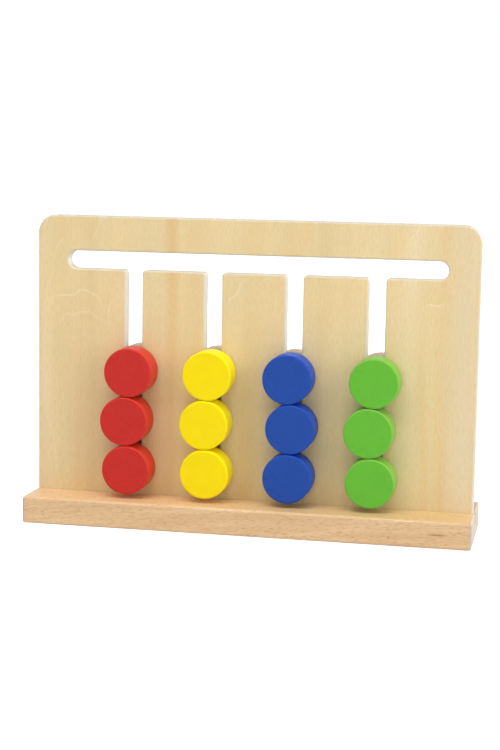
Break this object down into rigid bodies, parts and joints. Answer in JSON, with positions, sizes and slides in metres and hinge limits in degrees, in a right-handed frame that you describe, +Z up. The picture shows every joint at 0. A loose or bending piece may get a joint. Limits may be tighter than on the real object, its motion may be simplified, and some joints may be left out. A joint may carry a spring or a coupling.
{
  "type": "pattern matching game",
  "caption": "Tabletop wooden matching game: an upright slotted board in a base bar, with coloured discs on pins that slide along its slots to be sorted by colour.",
  "frame": {"origin": "centre of the base bar's underside, on the table", "axes": "+X along the base and the channel to the viewer's right, +Y from the front of the board to its back, +Z up"},
  "size_m": [0.3, 0.07, 0.2055],
  "materials": {
    "beech": "clear satin lacquer on beech",
    "plywood": "clear matt lacquer on pale plywood",
    "dowel_wood": "bare turned dowel",
    "disc_wood": "clear lacquer on turned hardwood",
    "red_paint": "satin paint on turned wood",
    "yellow_paint": "satin paint on turned wood",
    "blue_paint": "satin paint on turned wood",
    "green_paint": "satin paint on turned wood"
  },
  "bodies": {
    "stand": {"base": "beech", "board": "plywood"},
    "red_bottom_slider": {"red_bottom_pin": "dowel_wood"},
    "red_bottom_discs": {"red_bottom_front_disc": "red_paint", "red_bottom_back_disc": "disc_wood"},
    "red_middle_slider": {"red_middle_pin": "dowel_wood"},
    "red_middle_discs": {"red_middle_front_disc": "red_paint", "red_middle_back_disc": "disc_wood"},
    "red_top_slider": {"red_top_pin": "dowel_wood"},
    "red_top_discs": {"red_top_front_disc": "red_paint", "red_top_back_disc": "disc_wood"},
    "yellow_bottom_slider": {"yellow_bottom_pin": "dowel_wood"},
    "yellow_bottom_discs": {"yellow_bottom_front_disc": "yellow_paint", "yellow_bottom_back_disc": "disc_wood"},
    "yellow_middle_slider": {"yellow_middle_pin": "dowel_wood"},
    "yellow_middle_discs": {"yellow_middle_front_disc": "yellow_paint", "yellow_middle_back_disc": "disc_wood"},
    "yellow_top_slider": {"yellow_top_pin": "dowel_wood"},
    "yellow_top_discs": {"yellow_top_front_disc": "yellow_paint", "yellow_top_back_disc": "disc_wood"},
    "blue_bottom_slider": {"blue_bottom_pin": "dowel_wood"},
    "blue_bottom_discs": {"blue_bottom_front_disc": "blue_paint", "blue_bottom_back_disc": "disc_wood"},
    "blue_middle_slider": {"blue_middle_pin": "dowel_wood"},
    "blue_middle_discs": {"blue_middle_front_disc": "blue_paint", "blue_middle_back_disc": "disc_wood"},
    "blue_top_slider": {"blue_top_pin": "dowel_wood"},
    "blue_top_discs": {"blue_top_front_disc": "blue_paint", "blue_top_back_disc": "disc_wood"},
    "green_bottom_slider": {"green_bottom_pin": "dowel_wood"},
    "green_bottom_discs": {"green_bottom_front_disc": "green_paint", "green_bottom_back_disc": "disc_wood"},
    "green_middle_slider": {"green_middle_pin": "dowel_wood"},
    "green_middle_discs": {"green_middle_front_disc": "green_paint", "green_middle_back_disc": "disc_wood"},
    "green_top_slider": {"green_top_pin": "dowel_wood"},
    "green_top_discs": {"green_top_front_disc": "green_paint", "green_top_back_disc": "disc_wood"}
  },
  "joints": [
    {"name": "red_bottom_lift", "type": "slide", "parent": "stand", "child": "red_bottom_slider", "axis": [0, 0, 1], "range_m": [0, 0.0249]},
    {"name": "red_bottom_spin", "type": "hinge", "parent": "red_bottom_slider", "child": "red_bottom_discs", "pos_m": [-0.08156, 0, 0.03751], "axis": [0, 1, 0], "continuous": true},
    {"name": "red_middle_lift", "type": "slide", "parent": "red_bottom_slider", "child": "red_middle_slider", "axis": [0, 0, 1], "range_m": [0, 0.0249]},
    {"name": "red_middle_spin", "type": "hinge", "parent": "red_middle_slider", "child": "red_middle_discs", "pos_m": [-0.08308, 0, 0.07037], "axis": [0, 1, 0], "continuous": true},
    {"name": "red_top_lift", "type": "slide", "parent": "red_middle_slider", "child": "red_top_slider", "axis": [0, 0, 1], "range_m": [0, 0.0249]},
    {"name": "red_top_spin", "type": "hinge", "parent": "red_top_slider", "child": "red_top_discs", "pos_m": [-0.08042, 0, 0.10317], "axis": [0, 1, 0], "continuous": true},
    {"name": "yellow_bottom_lift", "type": "slide", "parent": "stand", "child": "yellow_bottom_slider", "axis": [0, 0, 1], "range_m": [0, 0.0249]},
    {"name": "yellow_bottom_spin", "type": "hinge", "parent": "yellow_bottom_slider", "child": "yellow_bottom_discs", "pos_m": [-0.02782, 0, 0.03759], "axis": [0, 1, 0], "continuous": true},
    {"name": "yellow_middle_lift", "type": "slide", "parent": "yellow_bottom_slider", "child": "yellow_middle_slider", "axis": [0, 0, 1], "range_m": [0, 0.0249]},
    {"name": "yellow_middle_spin", "type": "hinge", "parent": "yellow_middle_slider", "child": "yellow_middle_discs", "pos_m": [-0.02867, 0, 0.07048], "axis": [0, 1, 0], "continuous": true},
    {"name": "yellow_top_lift", "type": "slide", "parent": "yellow_middle_slider", "child": "yellow_top_slider", "axis": [0, 0, 1], "range_m": [0, 0.0249]},
    {"name": "yellow_top_spin", "type": "hinge", "parent": "yellow_top_slider", "child": "yellow_top_discs", "pos_m": [-0.02687, 0, 0.10333], "axis": [0, 1, 0], "continuous": true},
    {"name": "blue_bottom_lift", "type": "slide", "parent": "stand", "child": "blue_bottom_slider", "axis": [0, 0, 1], "range_m": [0, 0.0249]},
    {"name": "blue_bottom_spin", "type": "hinge", "parent": "blue_bottom_slider", "child": "blue_bottom_discs", "pos_m": [0.02782, 0, 0.03759], "axis": [0, 1, 0], "continuous": true},
    {"name": "blue_middle_lift", "type": "slide", "parent": "blue_bottom_slider", "child": "blue_middle_slider", "axis": [0, 0, 1], "range_m": [0, 0.0249]},
    {"name": "blue_middle_spin", "type": "hinge", "parent": "blue_middle_slider", "child": "blue_middle_discs", "pos_m": [0.02915, 0, 0.07046], "axis": [0, 1, 0], "continuous": true},
    {"name": "blue_top_lift", "type": "slide", "parent": "blue_middle_slider", "child": "blue_top_slider", "axis": [0, 0, 1], "range_m": [0, 0.0249]},
    {"name": "blue_top_spin", "type": "hinge", "parent": "blue_top_slider", "child": "blue_top_discs", "pos_m": [0.02659, 0, 0.10326], "axis": [0, 1, 0], "continuous": true},
    {"name": "green_bottom_lift", "type": "slide", "parent": "stand", "child": "green_bottom_slider", "axis": [0, 0, 1], "range_m": [0, 0.0249]},
    {"name": "green_bottom_spin", "type": "hinge", "parent": "green_bottom_slider", "child": "green_bottom_discs", "pos_m": [0.08242, 0, 0.03762], "axis": [0, 1, 0], "continuous": true},
    {"name": "green_middle_lift", "type": "slide", "parent": "green_bottom_slider", "child": "green_middle_slider", "axis": [0, 0, 1], "range_m": [0, 0.0249]},
    {"name": "green_middle_spin", "type": "hinge", "parent": "green_middle_slider", "child": "green_middle_discs", "pos_m": [0.08052, 0, 0.07046], "axis": [0, 1, 0], "continuous": true},
    {"name": "green_top_lift", "type": "slide", "parent": "green_middle_slider", "child": "green_top_slider", "axis": [0, 0, 1], "range_m": [0, 0.0249]},
    {"name": "green_top_spin", "type": "hinge", "parent": "green_top_slider", "child": "green_top_discs", "pos_m": [0.08356, 0, 0.10322], "axis": [0, 1, 0], "continuous": true}
  ]
}
